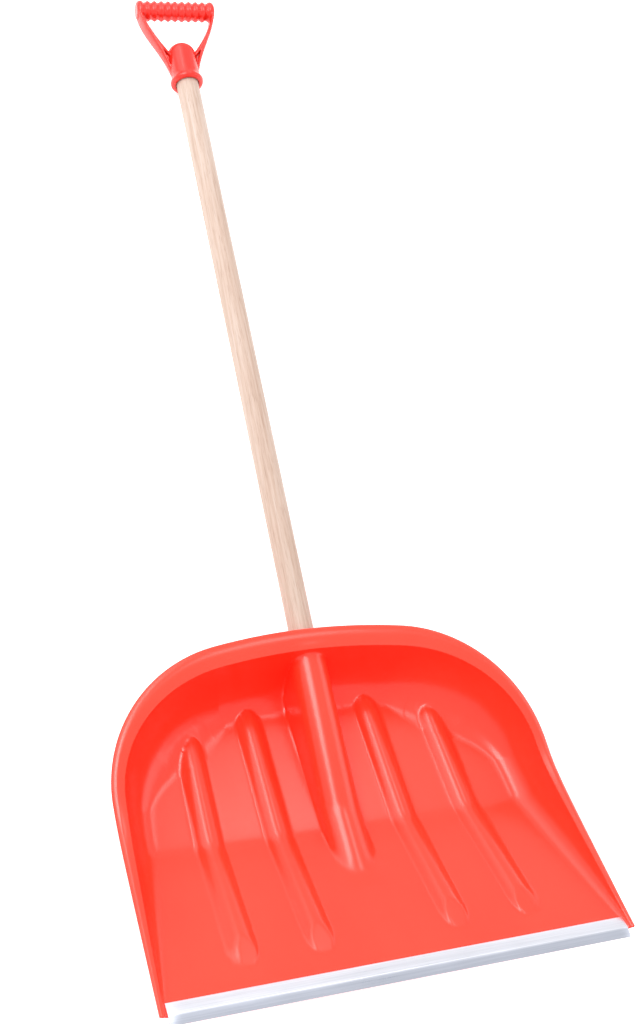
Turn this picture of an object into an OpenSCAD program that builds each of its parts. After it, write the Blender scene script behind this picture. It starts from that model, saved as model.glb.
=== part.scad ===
// Snow shovel: plastic scoop with an aluminium wear edge, wooden shaft, plastic D-grip.
// It lies on its back, the scoop's face up. +Y runs up the shaft to the grip, X runs across.
// Inside each module x is across, y is along the shaft's axis and z is out of the face side.

/* [Shaft] */
// Diameter of the shaft
shaft_d = 30; // [28:0.5:32]
// Shaft between the rear rim of the scoop and the grip collar
shaft_free = 800; // [500:1:1000]
// Depth of the shaft in the scoop's socket, from the rear rim
socket_depth = 240; // [200:1:244]
// Depth of the shaft in the grip
grip_depth = 52; // [40:1:54]

/* [Scoop] */
// Half width of the scoop over its rim
half_w = 256; // [236:1:276]
// Length of the scoop along the shaft, from the front lip to the rear rim
scoop_l = 400; // [385:1:420]
// Radius of the rear corners of the rim, in plan
corner_r = 168; // [150:1:175]
// Wall thickness of the moulding
wall_t = 3; // [2.5:0.1:3.5]
// Slope of the lower floor to the shaft, as rise over run
low_slope = 0.70; // [0.6:0.01:0.8]
// Slope of the upper floor to the shaft, as rise over run
up_slope = 0.30; // [0.25:0.01:0.35]
// Place of the bend in the floor along the shaft
bend_y = -270; // [-280:1:-260]
// Height of the rear rim over the shaft's axis
rim_z = 31; // [26:1:36]
// Width of the rim at the rear
rim_rear_w = 26; // [22:1:30]
// Width of the rim at the sides
rim_side_w = 14; // [10:1:16]
// Height of the stiffening ribs
rib_h = 9; // [5:0.5:10]
// Half width of a rib
rib_hw = 15.5; // [13:0.5:18]

/* [Wear edge] */
// Length of the aluminium strip
edge_l = 499; // [440:1:499]
// Width of the strip's flat legs
edge_leg = 14; // [10:1:18]
// Length of the strip's nose in front of the lip
edge_nose = 10.5; // [8:0.5:12]
// Thickness of the strip's legs
edge_t = 1.6; // [1.2:0.1:2]

/* [Grip] */
// Width of the grip over its arms
grip_w = 110; // [104:1:118]
// Height of the cross bar's centre over the collar's lower edge
bar_up = 118; // [113:1:123]
// Forward lean of the grip from the hub to the bar, in degrees
grip_lean = 8; // [0:1:10]
// Diameter over the bar's ridges
bar_d = 28; // [26:1:30]
// Depth of the grooves between the ridges
groove = 2.6; // [1.5:0.1:3]
// Number of ridges
ridges = 11; // [9:1:12]
// Depth of the grip's arms, front to back
arm_depth = 25; // [20:1:26]

/* [Rest] */
// Angle of the shaft to the ground with the shovel on its back, in degrees
rest_tilt = 1.55; // [1.5:0.01:2.5]
// Height of the shaft's axis over the ground just behind the rear rim
rest_up = 43.10; // [40:0.05:60]
// Distance from there to the middle of the shovel's length
rest_mid = 217.1; // [200:0.1:230]

/* [Hidden] */
$fn = 96;
red = [0.93, 0.17, 0.12];
rear_y = -45;
lip_y = rear_y - scoop_l;
shaft_r = shaft_d / 2;
fit = 0.15;

// Floor of the scoop: two slopes that meet in a rounded bend, the upper one slightly crowned.
bend_z = -2;
bend_soft = 0.9;
crown = 6;
function smax(a, b, k) = (a + b) / 2 + sqrt(pow((a - b) / 2, 2) + k * k);
function smooth(t) = let (c = min(1, max(0, t))) c * c * (3 - 2 * c);
function bend_at(x) = bend_y - crown * (1 - pow(x / 230, 2));
function low_z(y) = bend_z - low_slope * (y - bend_y);
function floor_z(x, y) =
    smax(low_z(y), low_z(bend_at(x)) - up_slope * (y - bend_at(x)), bend_soft);

// Top of the rim: nearly level round the rear, then a slope that follows the floor to the front lip.
rim_level = 0.04;
rim_fall = 0.436;
rim_soft = 6;
side_y = -304;
side_z = 63;
function rim_at(y) = smax(rim_z - rim_level * (y + 120), side_z - rim_fall * (y - side_y), rim_soft);

// Outline of the rim from the middle of the rear: flat arc, corner arc, straight side.
corner_x = half_w - corner_r;
corner_y = -220;
corner_a = 81;
rear_c = corner_x / cos(corner_a);
rear_r = rear_c + corner_r;
arc_l = rear_r * (90 - corner_a) * PI / 180;
corner_l = corner_r * corner_a * PI / 180;
side_l = corner_y - lip_y;
side_flare = 0.009;
outline_l = arc_l + corner_l + side_l;
function arc_turn(s) = s <= arc_l ? 90 - s / rear_r * 180 / PI
    : max(0, corner_a - (s - arc_l) / corner_r * 180 / PI);
function along_side(s) = max(0, s - arc_l - corner_l);
// Point of the outline moved inwards by a distance d.
function plan(s, d) =
    let (a = arc_turn(s), f = along_side(s))
    s <= arc_l ? [(rear_r - d) * cos(a), corner_y - rear_c * sin(corner_a) + (rear_r - d) * sin(a)]
    : [corner_x + (corner_r - d) * cos(a) + side_flare * f, corner_y + (corner_r - d) * sin(a) - f];
function round_rear(s) = smooth((s - arc_l) / corner_l);
rim_lip_w = 5;
function rim_w(s) = rim_rear_w - (rim_rear_w - rim_side_w) * round_rear(s)
    - (rim_side_w - rim_lip_w) * along_side(s) / side_l;
function wall_h(s) = let (p = plan(s, rim_w(s))) rim_at(p[1]) - floor_z(p[0], p[1]);
// Width of the wall's foot: wide at the rear, widest in the rear corners, less where the wall is low.
foot_rear = 58;
foot_side = 46;
foot_corner = 26;
full_h = 72;
function in_corner(s) = sin(180 * min(1, max(0, (s - arc_l) / corner_l)));
function wall_run(s) =
    (foot_rear - (foot_rear - foot_side) * round_rear(s) + foot_corner * in_corner(s))
    * pow(min(1, wall_h(s) / full_h), 0.75);

// Section of wall and rim at a station: t from 0 on the floor to 1 at the wall's top, then the rim.
wall_steps = 7;
rim_steps = 4;
layers = wall_steps + rim_steps;
function bezier(a, b, c, d, t) =
    pow(1 - t, 3) * a + 3 * t * pow(1 - t, 2) * b + 3 * t * t * (1 - t) * c + pow(t, 3) * d;
function wall_in(s, t) = let (run = wall_run(s)) bezier(run, run * 0.45, run * 0.14, 0, t);
function wall_up(s, t) = let (h = wall_h(s)) bezier(0, 0, 0.52 * h, h, t);
// The rim rolls over the wall's top and turns down a little at its outer edge.
function rim_roll(u) = -1.6 * pow(1 - u, 2) - 3.2 * pow(max(0, u - 0.45) / 0.55, 2.2);
function ring(s, k) =
    k <= wall_steps
        ? let (t = k / wall_steps, w = rim_w(s), p = plan(s, w + wall_in(s, t)), q = plan(s, w))
          let (base = floor_z(p[0], p[1]), top = rim_at(q[1]) - 1.6)
          [p[0], p[1], base + (top - base) * wall_up(s, t) / max(0.01, wall_h(s))]
        : let (u = (k - wall_steps) / rim_steps, p = plan(s, rim_w(s) * (1 - u)))
          [p[0], p[1], rim_at(p[1]) + rim_roll(u)];

// Ribs: arched ridges on the floor, in two pairs, each from its rear tip to its front tip.
// A rib has a round nose at its rear tip, and a flat ramp cuts its front end.
ribs = [[[147.2, -122], [156.5, -412]], [[72.9, -107], [75.1, -412]]];
rib_rear = 34;
rib_front = 24;
rib_ramp = 33;
function rib_part(p, a, b) =
    let (l = norm(b - a), u = (p - a) * (b - a) / l, v = l - u)
    let (gap = sqrt(max(0, (p - a) * (p - a) - u * u)))
    let (rear = 1 - max(0, min(1, u / rib_rear)), front = 1 - max(0, min(1, v / rib_front)))
    let (nose = sqrt((1 - rear * rear) * (1 - front * front)))
    gap >= rib_hw * nose ? 0
    : rib_h * min(v / rib_ramp, nose - pow(gap / rib_hw, 2) / nose);
function rib_z(x, y) = max([for (r = ribs) rib_part([abs(x), y], r[0], r[1])]);

// Hump over the shaft: a half round ridge on steep flanks, a little wider and higher at its front end.
hump_rear_r = 21;
hump_grow = 0.016;
hump_rise_y = -255;
hump_rise = 0.22;
flank = 12;
function hump_r(y) = hump_rear_r + hump_grow * (-83 - y);
function hump_z(x, y) =
    let (r = hump_r(y), e = r * 0.99, rise = hump_rise * max(0, hump_rise_y - y))
    rise + (abs(x) <= e ? sqrt(r * r - x * x) : sqrt(r * r - e * e) - flank * (abs(x) - e));
hump_soft = 1.2;
hump_front_y = -345;
hump_rear_y = -60;
function with_hump(p) =
    p[1] < hump_front_y || p[1] > hump_rear_y ? p : [p[0], p[1], smax(p[2], hump_z(p[0], p[1]), hump_soft)];
// The foot of the wall buries the tip of a rib.
function with_rib(p) = [p[0], p[1], max(p[2], floor_z(p[0], p[1]) + rib_z(p[0], p[1]))];
function lifted(p) = with_hump(with_rib(p));

// Columns across the floor, given by their station on the rear of the floor's edge.
// They crowd over the hump and over each rib.
half_cols = [0, 6, 12, 17, 20.2, 22, 25, 29, 35, 45, 56, 62, 68, 74, 80, 86, 92, 108, 130,
    155, 170, 186, 202, 218, 236, 256, 266, 274, 282, 292];
cols = [for (i = [len(half_cols) - 1 : -1 : 1]) -half_cols[i], for (c = half_cols) c];
low_rows = 15;
up_rows = 11;
N = len(cols) - 1;
M = low_rows + up_rows;
P = 2 * M + N;

function signed_plan(s, d) = let (p = plan(abs(s), d)) [s < 0 ? -p[0] : p[0], p[1]];
last_s = half_cols[len(half_cols) - 1];
// Station of row j on the side of the floor, from the lip to the end of the last column.
function side_s(j) =
    j <= low_rows ? outline_l - (bend_y - lip_y) * j / low_rows
    : outline_l - (bend_y - lip_y) - (outline_l - (bend_y - lip_y) - last_s) * (j - low_rows) / up_rows;
function floor_edge(s) = signed_plan(s, rim_w(abs(s)) + wall_run(abs(s)));
// Straight column: from the lip to the rear edge of the floor, through the bend.
function column(c, j) =
    let (rear = floor_edge(c), x0 = rear[0] * 1.05)
    j <= low_rows ? [x0 - (x0 - rear[0]) * 0.6 * j / low_rows, lip_y + (bend_y - lip_y) * j / low_rows]
    : let (t = (j - low_rows) / up_rows, xb = x0 - (x0 - rear[0]) * 0.6)
      [xb + (rear[0] - xb) * t, bend_y + (rear[1] - bend_y) * t];
inner_c = 256;
function floor_xy(i, j) =
    let (c = cols[i], a = abs(c))
    a <= inner_c ? column(c, j)
    : let (f = (a - inner_c) / (last_s - inner_c), g = c < 0 ? -1 : 1)
      let (p = column(inner_c, j), q = floor_edge(side_s(j)), r = floor_edge(a))
      let (w = pow(j / M, 6), m = p + (q - p) * f, v = m + (r - m) * w)
      [g * v[0], v[1]];
function floor_point(i, j) = let (p = floor_xy(i, j)) [p[0], p[1], floor_z(p[0], p[1])];
// Station of place p on the floor's edge: up the left side, over the rear, down the right side.
function station(p) = p < M ? -side_s(p) : p > M + N ? side_s(P - p) : cols[p - M];
function ring_point(p, k) =
    let (s = station(p), q = ring(abs(s), k)) [s < 0 ? -q[0] : q[0], q[1], q[2]];

function at_floor(i, j) = j * (N + 1) + i;
function at_ring(p, k) =
    k > 0 ? (N + 1) * (M + 1) + (k - 1) * (P + 1) + p
    : p < M ? at_floor(0, p) : p > M + N ? at_floor(N, P - p) : at_floor(p - M, M);
floor_face = [for (j = [0 : M], i = [0 : N]) lifted(floor_point(i, j))];
ring_face = [for (k = [1 : layers], p = [0 : P]) lifted(ring_point(p, k))];
face = concat(floor_face, ring_face);
half_count = len(face);

// The back of the moulding is the face moved by the wall's thickness along its normal.
function unit(v) = v / max(1e-6, norm(v));
function floor_normal(i, j) =
    let (a = face[at_floor(min(N, i + 1), j)] - face[at_floor(max(0, i - 1), j)])
    let (b = face[at_floor(i, min(M, j + 1))] - face[at_floor(i, max(0, j - 1))])
    unit(cross(a, b));
function ring_normal(p, k) =
    let (a = face[at_ring(min(P, p + 1), k)] - face[at_ring(max(0, p - 1), k)])
    let (b = face[at_ring(p, min(layers, k + 1))] - face[at_ring(p, max(0, k - 1))])
    unit(cross(a, b));
function edge_normal(i, j) =
    i == 0 ? ring_normal(j, 0) : i == N ? ring_normal(P - j, 0) : j == M ? ring_normal(M + i, 0)
    : floor_normal(i, j);
floor_back = [for (j = [0 : M], i = [0 : N])
    face[at_floor(i, j)] - wall_t * edge_normal(i, j)];
ring_back = [for (k = [1 : layers], p = [0 : P])
    face[at_ring(p, k)] - wall_t * ring_normal(p, k)];
function quad(a, b, c, d) = [[a, c, b], [a, d, c]];
function both(a, b, c, d) =
    concat(quad(a, b, c, d), quad(d + half_count, c + half_count, b + half_count, a + half_count));
floor_quads = [for (j = [0 : M - 1], i = [0 : N - 1])
    each both(at_floor(i, j), at_floor(i + 1, j), at_floor(i + 1, j + 1), at_floor(i, j + 1))];
ring_quads = [for (k = [0 : layers - 1], p = [0 : P - 1])
    each both(at_ring(p, k), at_ring(p + 1, k), at_ring(p + 1, k + 1), at_ring(p, k + 1))];
rim_loop = concat(
    [for (i = [0 : N]) at_floor(i, 0)],
    [for (k = [1 : layers]) at_ring(P, k)],
    [for (p = [P - 1 : -1 : 0]) at_ring(p, layers)],
    [for (k = [layers - 1 : -1 : 1]) at_ring(0, k)]);
loop_n = len(rim_loop);
rim_quads = [for (i = [0 : loop_n - 1]) let (a = rim_loop[i], b = rim_loop[(i + 1) % loop_n])
    each quad(b, a, a + half_count, b + half_count)];

socket_wall = 4;
socket_mouth_y = rear_y - 3;
socket_end_y = rear_y - socket_depth;
blade_screw_y = -150;
collar_y = rear_y + shaft_free;
shaft_end_y = collar_y + grip_depth;
grip_screw_y = collar_y + 34;

// The shovel is drawn along the shaft's axis, then laid on the ground.
module lay() {
    translate([0, -rest_mid, rest_up])
        rotate([-rest_tilt, 0, 0])
            children();
}

module along(y0, y1, r) {
    translate([0, y0, 0])
        rotate([-90, 0, 0])
            cylinder(r = r, h = y1 - y0);
}

module screw_hole(y, r, z0, z1) {
    translate([0, y, z0])
        cylinder(r = r, h = z1 - z0);
}

// Pan head wood screw whose head bears on a tube of radius seat, seen from the back.
screw_r = 2.1;
screw_l = 15;
head_r = 4.6;
head_h = 2.6;
module screw(y, seat) {
    translate([0, y, -seat])
        union() {
            cylinder(r = screw_r, h = screw_l);
            difference() {
                translate([0, 0, -head_h])
                    cylinder(r = head_r, h = head_h);
                for (a = [0, 90])
                    rotate([0, 0, a])
                        translate([-2.4, -0.5, -head_h - 1])
                            cube([4.8, 1, 2.4]);
            }
        }
}

screw_flat = 0.6;
module blade() {
    color(red)
        lay()
            difference() {
                union() {
                    polyhedron(points = concat(face, floor_back, ring_back),
                        faces = concat(floor_quads, ring_quads, rim_quads), convexity = 12);
                    along(socket_end_y, socket_mouth_y, shaft_r + fit + socket_wall);
                    translate([0, socket_end_y, 0])
                        sphere(r = shaft_r + fit + socket_wall);
                }
                along(socket_end_y, 0, shaft_r + fit);
                screw_hole(blade_screw_y, screw_r + fit, -shaft_r - 10, 0);
                screw_hole(blade_screw_y, head_r + 1, -shaft_r - 12,
                    -shaft_r - fit - socket_wall + screw_flat);
            }
}

// Section of the strip: u runs forward along the floor from the lip, v out of the face.
slot = wall_t + 2 * fit;
edge_section = [
    [edge_nose, -slot / 2 - edge_t], [0.6, fit + edge_t], [-edge_leg, fit + edge_t],
    [-edge_leg, fit], [0.2, fit], [0.2, fit - slot], [-edge_leg, fit - slot],
    [-edge_leg, fit - slot - edge_t], [edge_nose - 4, fit - slot - edge_t],
];
low_a = atan(low_slope);
module wear_edge() {
    color("silver")
        lay()
            translate([-edge_l / 2, lip_y, low_z(lip_y)])
                rotate([-low_a, 0, 0])
                    rotate([90, 0, 90])
                        linear_extrude(edge_l)
                            polygon([for (p = edge_section) [-p[0], p[1]]]);
}

module shaft() {
    color([0.90, 0.80, 0.70])
        lay()
            difference() {
                union() {
                    along(socket_end_y + 1, shaft_end_y - 1, shaft_r);
                    translate([0, shaft_end_y - 1, 0])
                        rotate([-90, 0, 0])
                            cylinder(r1 = shaft_r, r2 = shaft_r - 1, h = 1);
                }
                screw_hole(blade_screw_y, screw_r, -shaft_r - 1, screw_l - shaft_r - socket_wall);
                screw_hole(grip_screw_y, screw_r, -shaft_r - 1, screw_l - shaft_r - socket_wall);
            }
}

// Grip outlines, x across and y over the collar's lower edge.
arm_x = grip_w / 2;
bar_r = bar_d / 2;
hub_r = shaft_r + fit + 4;
curve_steps = 14;
function curve2(a, b, c, d, t) = [bezier(a[0], b[0], c[0], d[0], t), bezier(a[1], b[1], c[1], d[1], t)];
function curve_pts(a, b, c, d) = [for (i = [0 : curve_steps]) curve2(a, b, c, d, i / curve_steps)];
function flip(pts) = [for (i = [len(pts) - 1 : -1 : 0]) [-pts[i][0], pts[i][1]]];
outer_arm = curve_pts([hub_r - 1.5, 11], [hub_r + 6, 55], [arm_x - 1.5, bar_up - 33],
    [arm_x - 0.4, bar_up]);
inner_arm = curve_pts([8, 41], [24, 61], [arm_x - 7, bar_up - 31], [arm_x - 6, bar_up]);

module arms_2d() {
    difference() {
        polygon(concat(outer_arm, flip(outer_arm)));
        polygon(concat(inner_arm, [[inner_arm[curve_steps][0], bar_up + 1]],
            [[-inner_arm[curve_steps][0], bar_up + 1]], flip(inner_arm)));
    }
}

// The arms from the side, y over the collar's lower edge: thin at the hub, deepest at the bar.
arm_foot = 5;
arm_side = [for (i = [0 : curve_steps])
    [i == 0 ? 10 : (outer_arm[i][1] + inner_arm[i][1]) / 2,
        arm_depth / 2 - (arm_depth / 2 - arm_foot) * pow(1 - i / curve_steps, 2.2)]];
module arms() {
    intersection() {
        translate([0, 0, -arm_depth / 2])
            linear_extrude(arm_depth)
                arms_2d();
        rotate([90, 0, 90])
            translate([0, 0, -arm_x])
                linear_extrude(grip_w)
                    polygon(concat(arm_side,
                        [for (i = [curve_steps : -1 : 0]) [arm_side[i][0], -arm_side[i][1]]]));
    }
}

// Pockets by the hub, open to the front and to the back of a thin web.
arm_web = 4;
pocket_n = 5;
pocket_edge = 0.2;
function pocket_side(g) = [for (i = [0 : pocket_n])
    let (f = 0.5 + g * (0.5 - pocket_edge) * (1 - pow(i / pocket_n, 2)))
        inner_arm[i] * (1 - f) + outer_arm[i] * f];
module pockets() {
    for (m = [0, 1], z = [-arm_depth, arm_web / 2])
        mirror([m, 0, 0])
            translate([0, 0, z])
                linear_extrude(arm_depth - arm_web / 2)
                    polygon(concat(pocket_side(1), [for (i = [pocket_n - 1 : -1 : 0]) pocket_side(-1)[i]]));
}

ridge_pitch = (grip_w - 13) / (ridges - 1);
ridge_steps = 6;
function ridge_r(x) = bar_r - groove * pow(abs(sin(180 * (x / ridge_pitch))), 1.4);
bar_half = ridge_pitch * (ridges - 1) / 2;
bar_pts = [for (i = [0 : ridge_steps * (ridges - 1)]) let (x = i * ridge_pitch / ridge_steps)
    [ridge_r(x), x - bar_half]];
end_round = 6;
end_bulge = [for (a = [15 : 15 : 90]) [bar_r - end_round * (1 - cos(a)), arm_x - end_round * (1 - sin(a))]];
bar_section = concat([[0, -arm_x]],
    [for (i = [len(end_bulge) - 1 : -1 : 0]) [end_bulge[i][0], -end_bulge[i][1]]],
    bar_pts, end_bulge, [[0, arm_x]]);

module grip() {
    color(red)
        lay()
            translate([0, collar_y, 0])
                difference() {
                    union() {
                        rotate([-90, 0, 0])
                            rotate_extrude()
                                polygon(hub_section);
                        translate([0, 40, 0])
                            rotate([grip_lean, 0, 0])
                                translate([0, -40, 0]) {
                                    difference() {
                                        arms();
                                        pockets();
                                    }
                                    translate([0, bar_up, 0])
                                        rotate([0, 90, 0])
                                            rotate_extrude()
                                                polygon(bar_section);
                                }
                    }
                    translate([0, -1, 0])
                        rotate([-90, 0, 0])
                            cylinder(r = shaft_r + fit, h = grip_depth + 1);
                    screw_hole(grip_screw_y - collar_y, screw_r + fit, -hub_r - 10, 0);
                    screw_hole(grip_screw_y - collar_y, head_r + 1, -hub_r - 14, -hub_r + screw_flat);
                }
}

// Half section of the hub: flared collar, neck, barrel and domed top.
collar_r = 22.5;
dome_y = 66;
hub_section = concat(
    [[0, 0], [collar_r - 3, 0], [collar_r - 1.2, 1.2], [collar_r - 0.3, 3], [collar_r, 5], [collar_r, 5.5]],
    [for (a = [15 : 15 : 90]) [hub_r + (collar_r - hub_r) * (1 - sin(a)), 5.5 + 10 * (1 - cos(a))]],
    [for (a = [0 : 10 : 80]) [hub_r * cos(a), dome_y - 16 + 16 * sin(a)]],
    [[0, dome_y]]);

module blade_screw() {
    color("gainsboro")
        lay()
            screw(blade_screw_y, shaft_r + fit + socket_wall - screw_flat);
}

module grip_screw() {
    color("gainsboro")
        lay()
            screw(grip_screw_y, hub_r - screw_flat);
}

blade();
wear_edge();
shaft();
grip();
blade_screw();
grip_screw();
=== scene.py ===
"""Looks of the snow shovel: plastic scoop, aluminium wear edge, wooden shaft, D-grip, two screws.

The shapes are worked out in the shovel's own frame, in millimetres: x across, y along the shaft
towards the grip, z out of the scoop's face. at_rest() takes such points to the row frame in metres.
"""
import math

import bmesh
import bpy
import numpy as np
from mathutils import Euler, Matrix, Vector


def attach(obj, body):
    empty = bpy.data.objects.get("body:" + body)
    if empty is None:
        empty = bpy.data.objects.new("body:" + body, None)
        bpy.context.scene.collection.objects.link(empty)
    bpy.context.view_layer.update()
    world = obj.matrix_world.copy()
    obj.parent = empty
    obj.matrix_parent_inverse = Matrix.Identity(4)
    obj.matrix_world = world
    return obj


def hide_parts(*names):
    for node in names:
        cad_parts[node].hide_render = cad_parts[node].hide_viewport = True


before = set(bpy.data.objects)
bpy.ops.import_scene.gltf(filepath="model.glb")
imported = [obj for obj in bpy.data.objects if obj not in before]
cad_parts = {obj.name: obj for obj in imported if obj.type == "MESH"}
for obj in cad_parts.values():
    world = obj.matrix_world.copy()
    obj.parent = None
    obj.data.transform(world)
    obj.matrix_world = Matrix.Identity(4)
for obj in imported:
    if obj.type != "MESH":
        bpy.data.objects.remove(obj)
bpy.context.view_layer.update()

# ---------------------------------------------------------------- frame and driving dimensions
REST_TILT = math.radians(1.55)
REST_UP = 43.10
REST_MID = 217.1
MM = 0.001

SHAFT_R = 15.0
FIT = 0.15
REAR_Y = -45.0
LIP_Y = -445.0
COLLAR_Y = 755.0
SOCKET_END_Y = -285.0
SHAFT_END_Y = 807.0
BLADE_SCREW_Y = -150.0
GRIP_SCREW_Y = 789.0
SOCKET_R = SHAFT_R + FIT + 4.0
SCREW_R = 2.1
SCREW_L = 15.0
HEAD_R = 4.6
HEAD_H = 2.6
SCREW_FLAT = 0.6


def at_rest(points):
    """Points of the shovel's own frame, in mm, laid on the ground in the row frame, in metres."""
    p = np.asarray(points, float).reshape(-1, 3)
    c, s = math.cos(REST_TILT), math.sin(REST_TILT)
    y = p[:, 1] * c + p[:, 2] * s - REST_MID
    z = -p[:, 1] * s + p[:, 2] * c + REST_UP
    return np.c_[p[:, 0], y, z] * MM


# ---------------------------------------------------------------- mesh helpers
def mesh_object(name, points, faces, material):
    """A mesh object from points in the shovel's frame."""
    mesh = bpy.data.meshes.new(name)
    mesh.from_pydata([tuple(p) for p in at_rest(points)], [], [tuple(f) for f in faces])
    mesh.validate()
    mesh.update()
    obj = bpy.data.objects.new(name, mesh)
    bpy.context.scene.collection.objects.link(obj)
    if material is not None:
        mesh.materials.append(material)
    for poly in mesh.polygons:
        poly.use_smooth = True
    return obj


def apply_modifiers(obj):
    """Bakes the object's modifiers into its mesh."""
    depsgraph = bpy.context.evaluated_depsgraph_get()
    baked = bpy.data.meshes.new_from_object(obj.evaluated_get(depsgraph))
    old = obj.data
    obj.modifiers.clear()
    obj.data = baked
    bpy.data.meshes.remove(old)


def shade_by_angle(obj, degrees):
    """Smooth shading, broken along edges sharper than the angle."""
    mesh = obj.data
    for poly in mesh.polygons:
        poly.use_smooth = True
    mesh.set_sharp_from_angle(angle=math.radians(degrees))


def boolean(obj, other, operation):
    """Unites obj with other, or cuts other out of it, then removes other."""
    mod = obj.modifiers.new("cut", "BOOLEAN")
    mod.operation = operation
    mod.object = other
    mod.solver = "MANIFOLD"
    apply_modifiers(obj)
    bpy.data.objects.remove(other)


def lathe(profile, steps, origin, axis):
    """Points and faces of a profile [(radius, height)] turned round an axis, with flat closed ends."""
    axis = Vector(axis).normalized()
    side = axis.orthogonal().normalized()
    other = axis.cross(side)
    points, faces = [], []
    for r, h in profile:
        for i in range(steps):
            a = 2 * math.pi * i / steps
            points.append(Vector(origin) + axis * h + side * (r * math.cos(a)) + other * (r * math.sin(a)))
    rows = len(profile)
    for j in range(rows - 1):
        for i in range(steps):
            k = (i + 1) % steps
            faces.append((j * steps + i, j * steps + k, (j + 1) * steps + k, (j + 1) * steps + i))
    faces.append(tuple(range(steps - 1, -1, -1)))
    faces.append(tuple((rows - 1) * steps + i for i in range(steps)))
    return points, faces


def rod(name, y0, y1, radius, steps=96):
    """A straight round bar along the shaft, for unions and cuts."""
    points, faces = lathe([(radius, y0), (radius, y1)], steps, (0, 0, 0), (0, 1, 0))
    return mesh_object(name, points, faces, None)


def drill(obj, y, radius, z0, z1):
    """Cuts a round hole at y, square to the shaft, from z0 to z1."""
    points, faces = lathe([(radius, z0), (radius, z1)], 48, (0, y, 0), (0, 0, 1))
    tool = mesh_object("drill", points, faces, None)
    recalc_normals(tool)
    boolean(obj, tool, "DIFFERENCE")


def smooth_step(t):
    """0 to 1 as t goes from 0 to 1, level at both ends."""
    c = min(1.0, max(0.0, t))
    return c * c * (3 - 2 * c)


def soft_max(a, b, k):
    """The greater of a and b, rounded over where they meet, by about k."""
    return (a + b) / 2 + math.sqrt(((a - b) / 2) ** 2 + k * k)


def bezier(a, b, c, d, t):
    u = 1 - t
    return u ** 3 * a + 3 * t * u * u * b + 3 * t * t * u * c + t ** 3 * d


def recalc_normals(obj):
    """Turns every face of a closed mesh outwards."""
    bm = bmesh.new()
    bm.from_mesh(obj.data)
    bmesh.ops.recalc_face_normals(bm, faces=bm.faces)
    bm.to_mesh(obj.data)
    bm.free()


# ---------------------------------------------------------------- materials
def new_material(name):
    """A material with its nodes, links and main shader."""
    mat = bpy.data.materials.new(name)
    mat.use_nodes = True
    nodes, links = mat.node_tree.nodes, mat.node_tree.links
    return mat, nodes, links, nodes["Principled BSDF"]


def mapped_coords(nodes, links, scale):
    """Object coordinates, stretched by scale."""
    coord = nodes.new("ShaderNodeTexCoord")
    mapping = nodes.new("ShaderNodeMapping")
    mapping.inputs["Scale"].default_value = scale
    links.new(coord.outputs["Object"], mapping.inputs["Vector"])
    return mapping.outputs["Vector"]


def noise(nodes, links, vector, scale, detail, roughness=0.5, distortion=0.0):
    tex = nodes.new("ShaderNodeTexNoise")
    tex.inputs["Scale"].default_value = scale
    tex.inputs["Detail"].default_value = detail
    tex.inputs["Roughness"].default_value = roughness
    tex.inputs["Distortion"].default_value = distortion
    links.new(vector, tex.inputs["Vector"])
    return tex.outputs["Fac"]


def ramp(nodes, links, value, stops):
    node = nodes.new("ShaderNodeValToRGB")
    elements = node.color_ramp.elements
    while len(elements) < len(stops):
        elements.new(0.5)
    for element, (place, colour) in zip(elements, stops):
        element.position = place
        element.color = (*colour, 1) if len(colour) == 3 else colour
    links.new(value, node.inputs["Fac"])
    return node.outputs["Color"]


def span(nodes, links, value, low, high):
    """A value from 0 to 1 spread from low to high."""
    node = nodes.new("ShaderNodeMapRange")
    node.inputs["To Min"].default_value = low
    node.inputs["To Max"].default_value = high
    links.new(value, node.inputs["Value"])
    return node.outputs["Result"]


def bump(nodes, links, height, strength, distance, below=None):
    node = nodes.new("ShaderNodeBump")
    node.inputs["Strength"].default_value = strength
    node.inputs["Distance"].default_value = distance
    links.new(height, node.inputs["Height"])
    if below is not None:
        links.new(below, node.inputs["Normal"])
    return node.outputs["Normal"]


def red_plastic(name, flow, light, deep):
    """Glossy red moulded plastic: faint flow clouding, a slight ripple and fine polish marks."""
    mat, nodes, links, shader = new_material(name)
    near = mapped_coords(nodes, links, (1, flow, 1))
    cloud = noise(nodes, links, near, 9, 3)
    colour = ramp(nodes, links, cloud, [(0.25, deep), (0.75, light)])
    links.new(colour, shader.inputs["Base Color"])
    grain = noise(nodes, links, near, 420, 4, 0.6)
    links.new(span(nodes, links, grain, 0.17, 0.29), shader.inputs["Roughness"])
    ripple = noise(nodes, links, near, 16, 1)
    low = bump(nodes, links, ripple, 0.10, 0.002)
    links.new(bump(nodes, links, grain, 0.05, 0.0003, low), shader.inputs["Normal"])
    shader.inputs["IOR"].default_value = 1.49
    shader.inputs["Subsurface Weight"].default_value = 0.05
    shader.inputs["Subsurface Radius"].default_value = (0.004, 0.0008, 0.0005)
    shader.inputs["Subsurface Scale"].default_value = 1.0
    return mat


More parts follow.
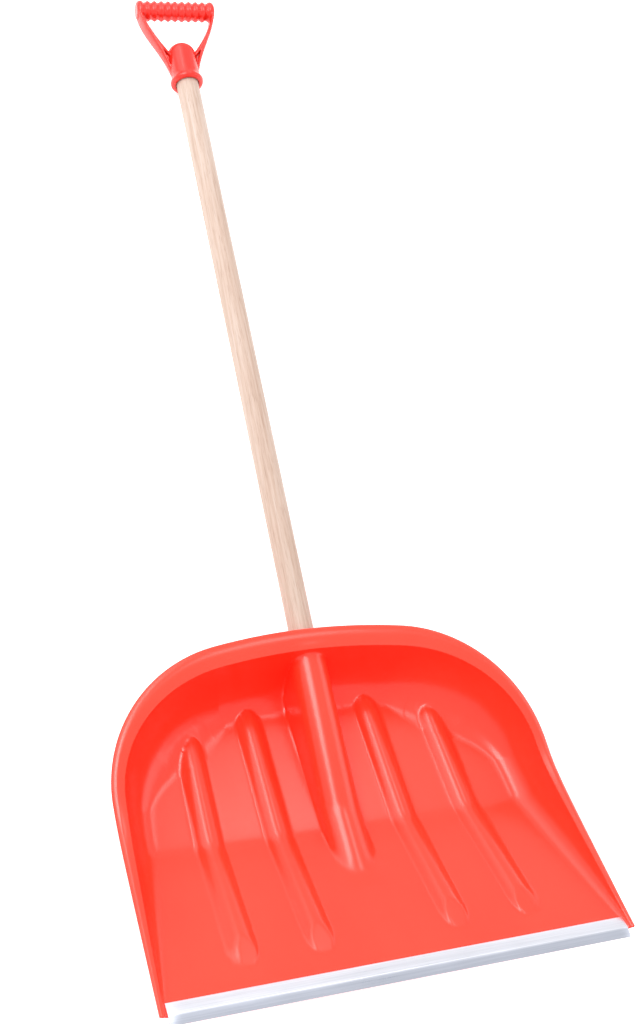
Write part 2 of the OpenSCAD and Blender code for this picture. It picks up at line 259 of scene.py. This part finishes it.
def extruded_aluminium():
    """Pale mill-finish aluminium with drawing lines along the strip and small scuffs; painted shade darkens
    and blues the nose, in place of a darker reflection.
    """
    mat, nodes, links, shader = new_material("extruded_aluminium")
    along = mapped_coords(nodes, links, (0.6, 60, 60))
    lines = noise(nodes, links, along, 14, 5, 0.65)
    patch = noise(nodes, links, mapped_coords(nodes, links, (1, 1, 1)), 22, 3)
    colour = ramp(nodes, links, lines, [(0.3, (0.60, 0.62, 0.68)), (0.7, (0.74, 0.75, 0.81))])
    # Painted shade: towards the nose the colour is multiplied by a darker, bluer tint that stands in for
    # the darker reflection the nose shows.
    split = nodes.new("ShaderNodeSeparateXYZ")
    links.new(mapped_coords(nodes, links, (1, 1, 1)), split.inputs[0])
    nose_shade_mask = nodes.new("ShaderNodeMapRange")
    nose_y, leg_y = at_rest([(0, LIP_Y - 1.5, low_z(LIP_Y)), (0, LIP_Y + 0.5, low_z(LIP_Y))])[:, 1]
    nose_shade_mask.inputs["From Min"].default_value = nose_y
    nose_shade_mask.inputs["From Max"].default_value = leg_y
    links.new(split.outputs["Y"], nose_shade_mask.inputs["Value"])
    nose_shade = nodes.new("ShaderNodeMix")
    nose_shade.data_type = "RGBA"
    nose_shade.blend_type = "MULTIPLY"
    nose_shade.inputs["Factor"].default_value = 1.0
    links.new(colour, nose_shade.inputs["A"])
    nose_shade_colour = ramp(nodes, links, nose_shade_mask.outputs["Result"], [(0.0, (0.66, 0.68, 0.72)), (1.0, (1.0, 1.0, 1.0))])
    links.new(nose_shade_colour, nose_shade.inputs["B"])
    links.new(nose_shade.outputs["Result"], shader.inputs["Base Color"])
    shader.inputs["Metallic"].default_value = 1.0
    mix = nodes.new("ShaderNodeMath")
    mix.operation = "ADD"
    links.new(span(nodes, links, lines, 0.20, 0.34), mix.inputs[0])
    links.new(span(nodes, links, patch, -0.03, 0.12), mix.inputs[1])
    links.new(mix.outputs[0], shader.inputs["Roughness"])
    links.new(bump(nodes, links, lines, 0.25, 0.0002), shader.inputs["Normal"])
    return mat


def pale_wood():
    """Sanded pale hardwood: long grain, darker pores as short dashes, soft colour drift."""
    mat, nodes, links, shader = new_material("pale_wood")
    drift = noise(nodes, links, mapped_coords(nodes, links, (9, 0.9, 9)), 3, 3)
    grain = noise(nodes, links, mapped_coords(nodes, links, (90, 2.2, 90)), 3.5, 6, 0.6, 0.4)
    pores = noise(nodes, links, mapped_coords(nodes, links, (520, 11, 520)), 3, 2, 0.5)
    base = ramp(nodes, links, grain, [(0.30, (0.39, 0.28, 0.22)), (0.50, (0.47, 0.36, 0.30)),
                                      (0.72, (0.51, 0.42, 0.37))])
    tone = ramp(nodes, links, drift, [(0.3, (0.90, 0.84, 0.80)), (0.7, (1.0, 1.0, 1.0))])
    blend = nodes.new("ShaderNodeMix")
    blend.data_type = "RGBA"
    blend.blend_type = "MULTIPLY"
    blend.inputs["Factor"].default_value = 1.0
    links.new(base, blend.inputs["A"])
    links.new(tone, blend.inputs["B"])
    dark = ramp(nodes, links, pores, [(0.30, (0.62, 0.52, 0.46)), (0.42, (1.0, 1.0, 1.0))])
    speck = nodes.new("ShaderNodeMix")
    speck.data_type = "RGBA"
    speck.blend_type = "MULTIPLY"
    speck.inputs["Factor"].default_value = 0.6
    links.new(blend.outputs["Result"], speck.inputs["A"])
    links.new(dark, speck.inputs["B"])
    links.new(speck.outputs["Result"], shader.inputs["Base Color"])
    links.new(span(nodes, links, grain, 0.62, 0.46), shader.inputs["Roughness"])
    fine = bump(nodes, links, grain, 0.12, 0.0004)
    links.new(bump(nodes, links, pores, 0.15, 0.0002, fine), shader.inputs["Normal"])
    return mat


def zinc_steel():
    """Zinc plated steel: bluish, lightly mottled."""
    mat, nodes, links, shader = new_material("zinc_steel")
    mottle = noise(nodes, links, mapped_coords(nodes, links, (1, 1, 1)), 600, 4)
    colour = ramp(nodes, links, mottle, [(0.3, (0.55, 0.57, 0.60)), (0.7, (0.72, 0.73, 0.75))])
    links.new(colour, shader.inputs["Base Color"])
    shader.inputs["Metallic"].default_value = 1.0
    links.new(span(nodes, links, mottle, 0.25, 0.42), shader.inputs["Roughness"])
    return mat


SCOOP_RED = red_plastic("scoop_red", 0.35, (0.97, 0.039, 0.017), (0.92, 0.031, 0.012))
# The grip's red is the scoop's red plastic made darker: painted shade standing in for the weaker light that
# reaches the grip.
GRIP_SHADED_RED = red_plastic("grip_shaded_red", 0.6, (0.74, 0.022, 0.013), (0.66, 0.016, 0.009))
WOOD = pale_wood()
STEEL = zinc_steel()

# ---------------------------------------------------------------- scoop: floor, outline and wall
WALL_T = 3.0
HALF_W = 256.0
CORNER_R = 168.0
CORNER_Y = -220.0
CORNER_A = math.radians(81)
CORNER_X = HALF_W - CORNER_R
REAR_C = CORNER_X / math.cos(CORNER_A)
REAR_R = REAR_C + CORNER_R
ARC_L = REAR_R * (math.pi / 2 - CORNER_A)
CORNER_L = CORNER_R * CORNER_A
SIDE_L = CORNER_Y - LIP_Y
SIDE_FLARE = 0.009
OUTLINE_L = ARC_L + CORNER_L + SIDE_L
BEND_Y = -270.0
BEND_Z = -2.0
LOW_SLOPE = 0.70
UP_SLOPE = 0.30
BEND_SOFT = 0.9
CROWN = 6.0
CROWN_HALF_W = 230.0
RIM_Z = 31.0
RIM_LEVEL = 0.04
RIM_FALL = 0.436
RIM_SOFT = 6.0
RIM_REAR_W = 26.0
RIM_SIDE_W = 14.0
RIM_LIP_W = 5.0
RIM_ROLL = 1.6
RIM_DROP = 3.2
FOOT_REAR = 58.0
FOOT_SIDE = 46.0
FOOT_CORNER = 26.0
FULL_WALL_H = 72.0


def bend_at(x):
    """Place of the bend in the floor, a little crowned."""
    return BEND_Y - CROWN * (1 - (x / CROWN_HALF_W) ** 2)


def low_z(y):
    return BEND_Z - LOW_SLOPE * (y - BEND_Y)


def floor_z(x, y):
    b = bend_at(x)
    return soft_max(low_z(y), low_z(b) - UP_SLOPE * (y - b), BEND_SOFT)


def rim_at(y):
    """Top of the rim: nearly level round the rear, then a slope down to the front lip."""
    return soft_max(RIM_Z - RIM_LEVEL * (y + 120), 63 - RIM_FALL * (y + 304), RIM_SOFT)


def plan(s, d):
    """Point of the rim's outline at station s from the middle of the rear, moved inwards by d."""
    if s <= ARC_L:
        a = math.pi / 2 - s / REAR_R
        r = REAR_R - d
        return (r * math.cos(a), CORNER_Y - REAR_C * math.sin(CORNER_A) + r * math.sin(a))
    a = max(0.0, CORNER_A - (s - ARC_L) / CORNER_R)
    f = max(0.0, s - ARC_L - CORNER_L)
    r = CORNER_R - d
    return (CORNER_X + r * math.cos(a) + SIDE_FLARE * f, CORNER_Y + r * math.sin(a) - f)


def round_rear(s):
    """0 on the rear arc, 1 past the corner."""
    return smooth_step((s - ARC_L) / CORNER_L)


def rim_w(s):
    ahead = max(0.0, s - ARC_L - CORNER_L) / SIDE_L
    return RIM_REAR_W - (RIM_REAR_W - RIM_SIDE_W) * round_rear(s) - (RIM_SIDE_W - RIM_LIP_W) * ahead


def wall_h(s):
    x, y = plan(s, rim_w(s))
    return rim_at(y) - floor_z(x, y)


def wall_run(s):
    """Width of the wall's foot: widest in the rear corners, less where the wall is low."""
    corner = math.sin(math.pi * min(1.0, max(0.0, (s - ARC_L) / CORNER_L)))
    full = FOOT_REAR - (FOOT_REAR - FOOT_SIDE) * round_rear(s) + FOOT_CORNER * corner
    return full * min(1.0, wall_h(s) / FULL_WALL_H) ** 0.75


def ring_point_at(s, wall_t, rim_u):
    """Point of the wall (rim_u None) or of the rim (rim_u from 0 inside to 1 at its outer edge)."""
    w = rim_w(s)
    if rim_u is None:
        run, h = wall_run(s), wall_h(s)
        x, y = plan(s, w + bezier(run, run * 0.45, run * 0.14, 0, wall_t))
        base = floor_z(x, y)
        top = rim_at(plan(s, w)[1]) - RIM_ROLL
        return (x, y, base + (top - base) * bezier(0, 0, 0.52, 1, wall_t))
    x, y = plan(s, w * (1 - rim_u))
    drop = RIM_DROP * (max(0.0, rim_u - 0.45) / 0.55) ** 2.2
    return (x, y, rim_at(y) - RIM_ROLL * (1 - rim_u) ** 2 - drop)


# Ribs: each pair from its rear tip to its front tip, mirrored.
RIBS = [((147.2, -122), (156.5, -412)), ((72.9, -107), (75.1, -412))]
RIB_H = 9.0
RIB_HW = 15.5
RIB_REAR = 34.0
RIB_FRONT = 24.0
RIB_RAMP = 33.0
RIB_SOFT = 0.5


def rib_z(x, y):
    """Height of the ribs: arched across, with a round nose at the rear and a flat ramp in front."""
    best = 0.0
    for (ax, ay), (bx, by) in RIBS:
        length = math.hypot(bx - ax, by - ay)
        u = ((abs(x) - ax) * (bx - ax) + (y - ay) * (by - ay)) / length
        gap = abs((abs(x) - ax) * (by - ay) - (y - ay) * (bx - ax)) / length
        if gap > 2 * RIB_HW or u < 0 or u > length:
            continue
        rear = 1 - min(1.0, u / RIB_REAR)
        front = 1 - min(1.0, (length - u) / RIB_FRONT)
        nose = math.sqrt((1 - rear * rear) * (1 - front * front))
        arch = nose - gap * gap / (RIB_HW * RIB_HW * max(nose, 0.05))
        ridge = soft_max(0, RIB_H * arch, RIB_SOFT) - soft_max(0, -3 * RIB_H, RIB_SOFT)
        best = max(best, -soft_max(-ridge, -RIB_H * (length - u) / RIB_RAMP, 0.05))
    return best


# Hump over the shaft, a little wider and higher at its front end.
HUMP_REAR_R = 21.0
HUMP_GROW = 0.016
HUMP_RISE_Y = -255.0
HUMP_RISE = 0.22
HUMP_SOFT = 2.4
HUMP_FRONT_Y = -350
HUMP_BACK_Y = -60
HUMP_REACH = 60
FLANK = 12.0
FOOT_BLEND_H = 12.0
FOOT_SOFT = 0.4


def hump_z(x, y):
    """Height of the hump: a half round ridge on steep flanks."""
    r = HUMP_REAR_R + HUMP_GROW * (-83 - y)
    e = r * 0.99
    rise = HUMP_RISE * soft_max(0, HUMP_RISE_Y - y, 3)
    if abs(x) <= e:
        return rise + math.sqrt(r * r - x * x)
    return rise + math.sqrt(r * r - e * e) - FLANK * (abs(x) - e)


def lifted(x, y, z):
    """The face with the ribs and the hump laid on it; the foot of the wall buries a rib's tip."""
    rib = rib_z(x, y)
    floor = floor_z(x, y)
    if rib > 0 and z - floor <= FOOT_BLEND_H:
        z = soft_max(z, floor + rib, FOOT_SOFT) - soft_max(0, -rib, FOOT_SOFT)
    if HUMP_FRONT_Y < y < HUMP_BACK_Y and abs(x) < HUMP_REACH:
        lift = soft_max(z, hump_z(x, y), HUMP_SOFT)
        near = smooth_step((y - HUMP_FRONT_Y) / 12) * smooth_step((HUMP_BACK_Y - y) / 8)
        near *= smooth_step((HUMP_REACH - abs(x)) / 20)
        z += (lift - z) * near
    return (x, y, z)


def scoop_columns():
    """Stations of the floor's columns along its rear edge: fine over the hump, even elsewhere."""
    half = [21 * math.sin(math.radians(a)) for a in range(0, 80, 5)]
    half += list(np.linspace(20.9, 27.0, 9))
    half += list(np.arange(28.5, 292.0, 2.1)) + [292.0]
    return [-c for c in reversed(half[1:])] + half


def scoop_grid():
    """Face of the scoop: a floor of columns and rows, then a ring of wall and rim round it."""
    cols = scoop_columns()
    low_rows, up_rows, wall_steps, rim_steps = 70, 62, 26, 14
    n, m = len(cols) - 1, low_rows + up_rows
    p_count = 2 * m + n
    layers = wall_steps + rim_steps
    last_s, inner_c = cols[-1], 256.0
    front_l = BEND_Y - LIP_Y

    def side_s(j):
        if j <= low_rows:
            return OUTLINE_L - front_l * j / low_rows
        return OUTLINE_L - front_l - (OUTLINE_L - front_l - last_s) * (j - low_rows) / up_rows

    def floor_edge(s):
        x, y = plan(s, rim_w(s) + wall_run(s))
        return np.array((x, y))

    def column(c, j, rear):
        x0 = rear[0] * 1.05
        xb = x0 - (x0 - rear[0]) * 0.6
        if j <= low_rows:
            return np.array((x0 + (xb - x0) * j / low_rows, LIP_Y + front_l * j / low_rows))
        t = (j - low_rows) / up_rows
        return np.array((xb + (rear[0] - xb) * t, BEND_Y + (rear[1] - BEND_Y) * t))

    inner_rear = floor_edge(inner_c)
    side = [floor_edge(side_s(j)) for j in range(m + 1)]
    points = []
    rears = [floor_edge(abs(c)) for c in cols]
    for j in range(m + 1):
        inner = column(inner_c, j, inner_rear)
        for c, rear in zip(cols, rears):
            a, g = abs(c), (-1 if c < 0 else 1)
            if a <= inner_c:
                q = column(a, j, rear)
            else:
                f = (a - inner_c) / (last_s - inner_c)
                q = inner + (side[j] - inner) * f
                q = q + (rear - q) * (j / m) ** 6
            x, y = g * q[0], q[1]
            points.append(lifted(x, y, floor_z(x, y)))
    for k in range(1, layers + 1):
        for p in range(p_count + 1):
            s = -side_s(p) if p < m else side_s(p_count - p) if p > m + n else cols[p - m]
            if k <= wall_steps:
                x, y, z = ring_point_at(abs(s), k / wall_steps, None)
            else:
                x, y, z = ring_point_at(abs(s), 1, (k - wall_steps) / rim_steps)
            points.append(lifted(-x if s < 0 else x, y, z))

    def at(p, k):
        if k > 0:
            return (n + 1) * (m + 1) + (k - 1) * (p_count + 1) + p
        return p * (n + 1) if p < m else (p_count - p) * (n + 1) + n if p > m + n else m * (n + 1) + p - m

    quads = [(j * (n + 1) + i, j * (n + 1) + i + 1, (j + 1) * (n + 1) + i + 1, (j + 1) * (n + 1) + i)
             for j in range(m) for i in range(n)]
    quads += [(at(p, k), at(p + 1, k), at(p + 1, k + 1), at(p, k + 1))
              for k in range(layers) for p in range(p_count)]
    loop = list(range(n + 1)) + [at(p_count, k) for k in range(1, layers + 1)]
    loop += [at(p, layers) for p in range(p_count - 1, -1, -1)]
    loop += [at(0, k) for k in range(layers - 1, 0, -1)]
    return np.array(points), np.array(quads), loop


def vertex_normals(points, quads):
    a, b, c, d = (points[quads[:, i]] for i in range(4))
    face = np.cross(c - a, d - b)
    normals = np.zeros_like(points)
    for i in range(4):
        np.add.at(normals, quads[:, i], face)
    return normals / np.linalg.norm(normals, axis=1)[:, None]


def build_scoop():
    """The scoop's shell: the face, the back set off from it by the wall's thickness, and a rounded edge."""
    face, quads, loop = scoop_grid()
    normals = vertex_normals(face, quads)
    if normals[len(face) // 3][2] < 0:
        quads = quads[:, ::-1]
        normals = -normals
    back = face - WALL_T * normals
    count = len(face)
    points = [face, back]
    faces = [tuple(q) for q in quads] + [tuple(q[::-1] + count) for q in quads]
    # The free edge is rounded: a half circle of strips from the face to the back.
    edge_steps = 6
    loop = np.array(loop)
    ahead = face[np.roll(loop, -1)] - face[np.roll(loop, 1)]
    out = np.cross(ahead, normals[loop])
    out /= np.linalg.norm(out, axis=1)[:, None]
    middle = (face[loop] + back[loop]) / 2
    if np.mean(np.einsum("ij,ij->i", out, middle - middle.mean(0))) < 0:
        out = -out
    rows = [loop]
    start = 2 * count
    for i in range(1, edge_steps):
        a = math.pi * i / edge_steps
        ring = middle + normals[loop] * (WALL_T / 2 * math.cos(a)) + out * (0.7 * math.sin(a))
        points.append(ring)
        rows.append(start + np.arange(len(loop)))
        start += len(loop)
    rows.append(loop + count)
    total = len(loop)
    for upper, lower in zip(rows, rows[1:]):
        for i in range(total):
            k = (i + 1) % total
            faces.append((upper[i], lower[i], lower[k], upper[k]))
    scoop = mesh_object("scoop_shell", np.vstack(points), faces, SCOOP_RED)
    return scoop


scoop = build_scoop()
recalc_normals(scoop)
dome = [(SOCKET_R * math.cos(a), SOCKET_END_Y - SOCKET_R * math.sin(a))
        for a in np.linspace(math.pi / 2 - 0.02, 0, 20)]
mouth = [(SOCKET_R, REAR_Y - 3.8), (SOCKET_R - 0.25, REAR_Y - 3.2), (SOCKET_R - 0.8, REAR_Y - 3)]
socket_points, socket_faces = lathe(dome + mouth, 128, (0, 0, 0), (0, 1, 0))
socket = mesh_object("socket", socket_points, socket_faces, SCOOP_RED)
recalc_normals(socket)
boolean(scoop, socket, "UNION")
bore = rod("bore", SOCKET_END_Y, 20, SHAFT_R + FIT, 128)
recalc_normals(bore)
boolean(scoop, bore, "DIFFERENCE")
drill(scoop, BLADE_SCREW_Y, SCREW_R + FIT, -SHAFT_R - 10, 0)
drill(scoop, BLADE_SCREW_Y, HEAD_R + 1, -SHAFT_R - 12, -SOCKET_R + SCREW_FLAT)
shade_by_angle(scoop, 38)
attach(scoop, "root")
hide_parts("blade")

# ---------------------------------------------------------------- grip
HUB_R = SOCKET_R
COLLAR_R = 22.5
DOME_Y = 66.0
ARM_X = 55.0
BAR_UP = 118.0
BAR_R = 14.0
GROOVE = 2.6
RIDGES = 11
ARM_DEPTH = 25.0
ARM_FOOT = 5.0
ARM_FAT = 0.75
ARM_WEB = 4.0
POCKET_EDGE = 0.2
POCKET_END = 0.32
BAR_END_ROUND = 6.0
GRIP_LEAN = math.radians(8)
LEAN_Y = 40.0
GRIP_DEPTH = 52.0


def leaned(points):
    """Points of the grip's leaned frame, y over the collar's edge, in the shovel's frame."""
    p = np.asarray([tuple(q) for q in points], float)
    c, s = math.cos(GRIP_LEAN), math.sin(GRIP_LEAN)
    y = p[:, 1] - LEAN_Y
    return np.c_[p[:, 0], COLLAR_Y + LEAN_Y + y * c - p[:, 2] * s, y * s + p[:, 2] * c]


def arm_curves(t):
    """Points of an arm's outer and inner outline at t, from 0 at the hub to 1 at the bar."""
    outer_x = bezier(HUB_R - 1.5, HUB_R + 6, ARM_X - 1.5, ARM_X - 0.4, t)
    outer_y = bezier(11, 55, BAR_UP - 33, BAR_UP, t)
    inner_x = bezier(8, 24, ARM_X - 7, ARM_X - 6, t)
    inner_y = bezier(41, 61, BAR_UP - 31, BAR_UP, t)
    return np.array([outer_x, outer_y]), np.array([inner_x, inner_y])


def signed_pow(v, e):
    return math.copysign(abs(v) ** e, v)


def prism(name, outline, z0, z1):
    """A closed prism over an outline of the leaned frame."""
    n = len(outline)
    points = [(x, y, z0) for x, y in outline] + [(x, y, z1) for x, y in outline]
    faces = [tuple(range(n - 1, -1, -1)), tuple(range(n, 2 * n))]
    faces += [(i, (i + 1) % n, n + (i + 1) % n, n + i) for i in range(n)]
    obj = mesh_object(name, leaned(points), faces, None)
    recalc_normals(obj)
    return obj


def grip_arm(side):
    """One arm, side 1 or -1: rounded sections along its two outlines, less the pockets by the hub."""
    steps, around = 48, 40
    points, faces = [], []
    for i in range(steps + 1):
        t = i / steps
        outer, inner = arm_curves(t)
        half = ARM_DEPTH / 2 - (ARM_DEPTH / 2 - ARM_FOOT) * (1 - t) ** 2.2
        for k in range(around):
            a = 2 * math.pi * k / around
            q = (outer + inner) / 2 + (outer - inner) / 2 * signed_pow(math.cos(a), ARM_FAT)
            points.append((side * q[0], q[1], half * signed_pow(math.sin(a), ARM_FAT)))
    for i in range(steps):
        for k in range(around):
            n = (k + 1) % around
            faces.append((i * around + k, i * around + n, (i + 1) * around + n, (i + 1) * around + k))
    faces += [tuple(range(around)), tuple(steps * around + k for k in range(around))]
    arm = mesh_object("arm", leaned(points), faces, GRIP_SHADED_RED)
    recalc_normals(arm)
    left, right = [], []
    for i in range(17):
        outer, inner = arm_curves(POCKET_END * i / 16)
        spread = (0.5 - POCKET_EDGE) * (1 - (i / 16) ** 2)
        for row, f in ((left, 0.5 + spread), (right, 0.5 - spread)):
            q = inner * (1 - f) + outer * f
            row.append((side * q[0], q[1]))
    outline = left + right[-2::-1]
    boolean(arm, prism("pocket", outline, ARM_WEB / 2, ARM_DEPTH), "DIFFERENCE")
    boolean(arm, prism("pocket", outline, -ARM_DEPTH, -ARM_WEB / 2), "DIFFERENCE")
    return arm


def grip_bar():
    """The ridged cross bar with rounded ends."""
    pitch = (2 * ARM_X - 13) / (RIDGES - 1)
    half = pitch * (RIDGES - 1) / 2
    rows = [(BAR_R - GROOVE * abs(math.sin(math.pi * i / 20)) ** 1.4, i * pitch / 20 - half)
            for i in range(20 * (RIDGES - 1) + 1)]
    end = [(BAR_R - BAR_END_ROUND * (1 - math.cos(a)), ARM_X - BAR_END_ROUND * (1 - math.sin(a)))
           for a in np.linspace(0.1, math.pi / 2, 12)]
    rows = [(r, -x) for r, x in reversed(end)] + rows + end
    points, faces = lathe(rows, 120, (0, BAR_UP, 0), (1, 0, 0))
    bar = mesh_object("bar", leaned(points), faces, GRIP_SHADED_RED)
    recalc_normals(bar)
    return bar


def grip_hub():
    """Flared collar, barrel and domed top, turned round the shaft's axis."""
    rows = [(COLLAR_R - 3, 0), (COLLAR_R - 1.2, 1.2), (COLLAR_R - 0.3, 3), (COLLAR_R, 5), (COLLAR_R, 5.5)]
    rows += [(HUB_R + (COLLAR_R - HUB_R) * (1 - math.sin(a)), 5.5 + 10 * (1 - math.cos(a)))
             for a in np.linspace(0.15, math.pi / 2, 14)]
    rows += [(HUB_R * math.cos(a), DOME_Y - 16 + 16 * math.sin(a)) for a in np.linspace(0, 1.54, 24)]
    points, faces = lathe(rows, 128, (0, COLLAR_Y, 0), (0, 1, 0))
    hub = mesh_object("grip_body", points, faces, GRIP_SHADED_RED)
    recalc_normals(hub)
    return hub


def build_grip():
    """The whole grip as one moulding with soft edges, then its bore and screw holes."""
    grip = grip_hub()
    boolean(grip, grip_arm(1), "UNION")
    boolean(grip, grip_arm(-1), "UNION")
    boolean(grip, grip_bar(), "UNION")
    moulded = grip.modifiers.new("moulded", "REMESH")
    moulded.mode = "VOXEL"
    moulded.voxel_size = 0.0006
    soft = grip.modifiers.new("soft", "SMOOTH")
    soft.factor = 0.5
    soft.iterations = 6
    apply_modifiers(grip)
    mouth = [(SHAFT_R + FIT + 1.3, COLLAR_Y - 1), (SHAFT_R + FIT + 1.3, COLLAR_Y + 0.1),
             (SHAFT_R + FIT, COLLAR_Y + 1.8), (SHAFT_R + FIT, COLLAR_Y + GRIP_DEPTH)]
    points, faces = lathe(mouth, 128, (0, 0, 0), (0, 1, 0))
    bore = mesh_object("bore", points, faces, None)
    recalc_normals(bore)
    boolean(grip, bore, "DIFFERENCE")
    drill(grip, GRIP_SCREW_Y, SCREW_R + FIT, -HUB_R - 10, 0)
    drill(grip, GRIP_SCREW_Y, HEAD_R + 1, -HUB_R - 14, -HUB_R + SCREW_FLAT)
    shade_by_angle(grip, 40)
    return grip


grip = build_grip()
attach(grip, "root")
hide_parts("grip")


# ---------------------------------------------------------------- shaft
def build_shaft():
    """The round stick with small chamfers and the two pilot holes."""
    y0, y1 = SOCKET_END_Y, SHAFT_END_Y
    rows = [(SHAFT_R - 1, y0), (SHAFT_R - 0.3, y0 + 0.4), (SHAFT_R, y0 + 1)]
    rows += [(SHAFT_R, y) for y in np.linspace(y0 + 10, y1 - 10, 80)]
    rows += [(SHAFT_R, y1 - 1), (SHAFT_R - 0.3, y1 - 0.4), (SHAFT_R - 1, y1)]
    points, faces = lathe(rows, 128, (0, 0, 0), (0, 1, 0))
    shaft = mesh_object("stick", points, faces, WOOD)
    recalc_normals(shaft)
    for y in (BLADE_SCREW_Y, GRIP_SCREW_Y):
        drill(shaft, y, SCREW_R, -SHAFT_R - 1, SCREW_L - SOCKET_R + SCREW_FLAT)
    shade_by_angle(shaft, 40)
    return shaft


shaft = build_shaft()
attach(shaft, "root")
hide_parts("shaft")

# ---------------------------------------------------------------- wear edge
EDGE_L = 499.0
EDGE_LEG = 14.0
EDGE_NOSE = 10.5
EDGE_T = 1.6
LIP_SLOT = WALL_T + 2 * FIT


ALUMINIUM = extruded_aluminium()


def build_wear_edge():
    """The strip's section, u forward from the lip and v out of the face, drawn along the lip."""
    section = [(EDGE_NOSE, -LIP_SLOT / 2 - EDGE_T), (0.6, FIT + EDGE_T), (-EDGE_LEG, FIT + EDGE_T),
               (-EDGE_LEG, FIT), (0.2, FIT), (0.2, FIT - LIP_SLOT), (-EDGE_LEG, FIT - LIP_SLOT),
               (-EDGE_LEG, FIT - LIP_SLOT - EDGE_T), (EDGE_NOSE - 4, FIT - LIP_SLOT - EDGE_T)]
    a = math.atan(LOW_SLOPE)
    n = len(section)
    points, faces = [], []
    stations = np.linspace(-EDGE_L / 2, EDGE_L / 2, 41)
    for x in stations:
        for u, v in section:
            points.append((x, LIP_Y - u * math.cos(a) + v * math.sin(a),
                           low_z(LIP_Y) + u * math.sin(a) + v * math.cos(a)))
    for j in range(len(stations) - 1):
        for i in range(n):
            k = (i + 1) % n
            faces.append((j * n + i, j * n + k, (j + 1) * n + k, (j + 1) * n + i))
    faces += [tuple(range(n)), tuple((len(stations) - 1) * n + i for i in range(n))]
    strip = mesh_object("strip", points, faces, ALUMINIUM)
    recalc_normals(strip)
    edge = strip.modifiers.new("edge", "BEVEL")
    edge.width = 0.35 * MM
    edge.segments = 3
    edge.limit_method = "ANGLE"
    edge.angle_limit = math.radians(20)
    apply_modifiers(strip)
    shade_by_angle(strip, 35)
    return strip


strip = build_wear_edge()
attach(strip, "root")
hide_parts("wear_edge")


# ---------------------------------------------------------------- screws
def build_screw(name, y, seat):
    """Pan head screw from the back, its head on a tube of radius seat, with a cross recess."""
    head = [(SCREW_R, SCREW_L), (SCREW_R, 0.3), (HEAD_R, 0.0), (HEAD_R, -0.8)]
    head += [(HEAD_R - 2.6 * (1 - math.cos(a)), -0.8 - (HEAD_H - 0.8) * math.sin(a))
             for a in np.linspace(0.2, math.pi / 2, 8)]
    head[0:1] = [(0.4, SCREW_L), (SCREW_R, SCREW_L - 2.5)]
    points, faces = lathe(head, 64, (0, y, -seat), (0, 0, 1))
    screw = mesh_object(name, points, faces, STEEL)
    recalc_normals(screw)
    for wide, long in ((2.4, 0.5), (0.5, 2.4)):
        corners = [(sx * wide, y + sy * long, -seat - HEAD_H - 1 + 2.4 * up)
                   for up in (0, 1) for sx, sy in ((-1, -1), (1, -1), (1, 1), (-1, 1))]
        walls = [(i, (i + 1) % 4, 4 + (i + 1) % 4, 4 + i) for i in range(4)]
        recess = mesh_object("recess", corners, walls + [(3, 2, 1, 0), (4, 5, 6, 7)], None)
        recalc_normals(recess)
        boolean(screw, recess, "DIFFERENCE")
    shade_by_angle(screw, 35)
    return screw


for node, y in (("blade_screw", BLADE_SCREW_Y), ("grip_screw", GRIP_SCREW_Y)):
    screw = build_screw(node + "_part", y, SOCKET_R - SCREW_FLAT)
    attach(screw, "root")
    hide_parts(node)

# ---------------------------------------------------------------- floor, light, camera
def add_floor():
    """A wide pale floor that glows a little, so that the shadows stay light."""
    half = 30.0
    corners = [(-half, -half, 0), (half, -half, 0), (half, half, 0), (-half, half, 0)]
    mesh = bpy.data.meshes.new("floor")
    mesh.from_pydata(corners, [], [(0, 1, 2, 3)])
    floor = bpy.data.objects.new("floor", mesh)
    bpy.context.scene.collection.objects.link(floor)
    mat, nodes, links, shader = new_material("pale_floor")
    shader.inputs["Base Color"].default_value = (0.93, 0.93, 0.93, 1)
    shader.inputs["Roughness"].default_value = 0.9
    shader.inputs["Specular IOR Level"].default_value = 0.1
    shader.inputs["Emission Color"].default_value = (1, 1, 1, 1)
    shader.inputs["Emission Strength"].default_value = 0.40
    mesh.materials.append(mat)


add_floor()
SCOOP_MIDDLE = Vector((0, -0.45, 0.05))


def studio_light(name, azimuth, elevation, distance, width, height, radiance):
    """A soft light seen from the scoop at an azimuth from +Y towards +X and an elevation, in degrees."""
    a, e = math.radians(azimuth), math.radians(elevation)
    direction = Vector((math.sin(a) * math.cos(e), math.cos(a) * math.cos(e), math.sin(e)))
    data = bpy.data.lights.new(name, "AREA")
    data.shape = "RECTANGLE"
    data.size, data.size_y = width, height
    data.energy = radiance * math.pi * width * height
    light = bpy.data.objects.new(name, data)
    light.location = SCOOP_MIDDLE + distance * direction
    light.rotation_euler = (SCOOP_MIDDLE - light.location).to_track_quat("-Z", "Y").to_euler()
    bpy.context.scene.collection.objects.link(light)


studio_light("key", -43, 53, 2.6, 1.25, 1.20, 7.5)
studio_light("low_key", -18, 38, 3.0, 0.60, 0.45, 5.0)
studio_light("rear_wall", -32, 29, 3.0, 3.3, 1.55, 1.2)
studio_light("right_fill", 80, 28, 3.0, 2.4, 1.4, 1.2)
studio_light("window", 21, 48.5, 3.0, 0.62, 0.86, 4.0)

world = bpy.data.worlds.new("studio")
world.use_nodes = True
background = world.node_tree.nodes["Background"]
background.inputs["Color"].default_value = (1, 1, 1, 1)
background.inputs["Strength"].default_value = 1.1
bpy.context.scene.world = world

camera_data = bpy.data.cameras.new("camera")
camera_data.lens = 52.73
camera_data.sensor_width = 36.0
camera = bpy.data.objects.new("camera", camera_data)
camera.location = (-0.5263, -0.7249, 1.6678)
camera.rotation_euler = Euler((math.radians(23.13), math.radians(-15.27), math.radians(-11.52)))
bpy.context.scene.collection.objects.link(camera)
bpy.context.scene.camera = camera
bpy.context.scene.view_settings.view_transform = "Standard"
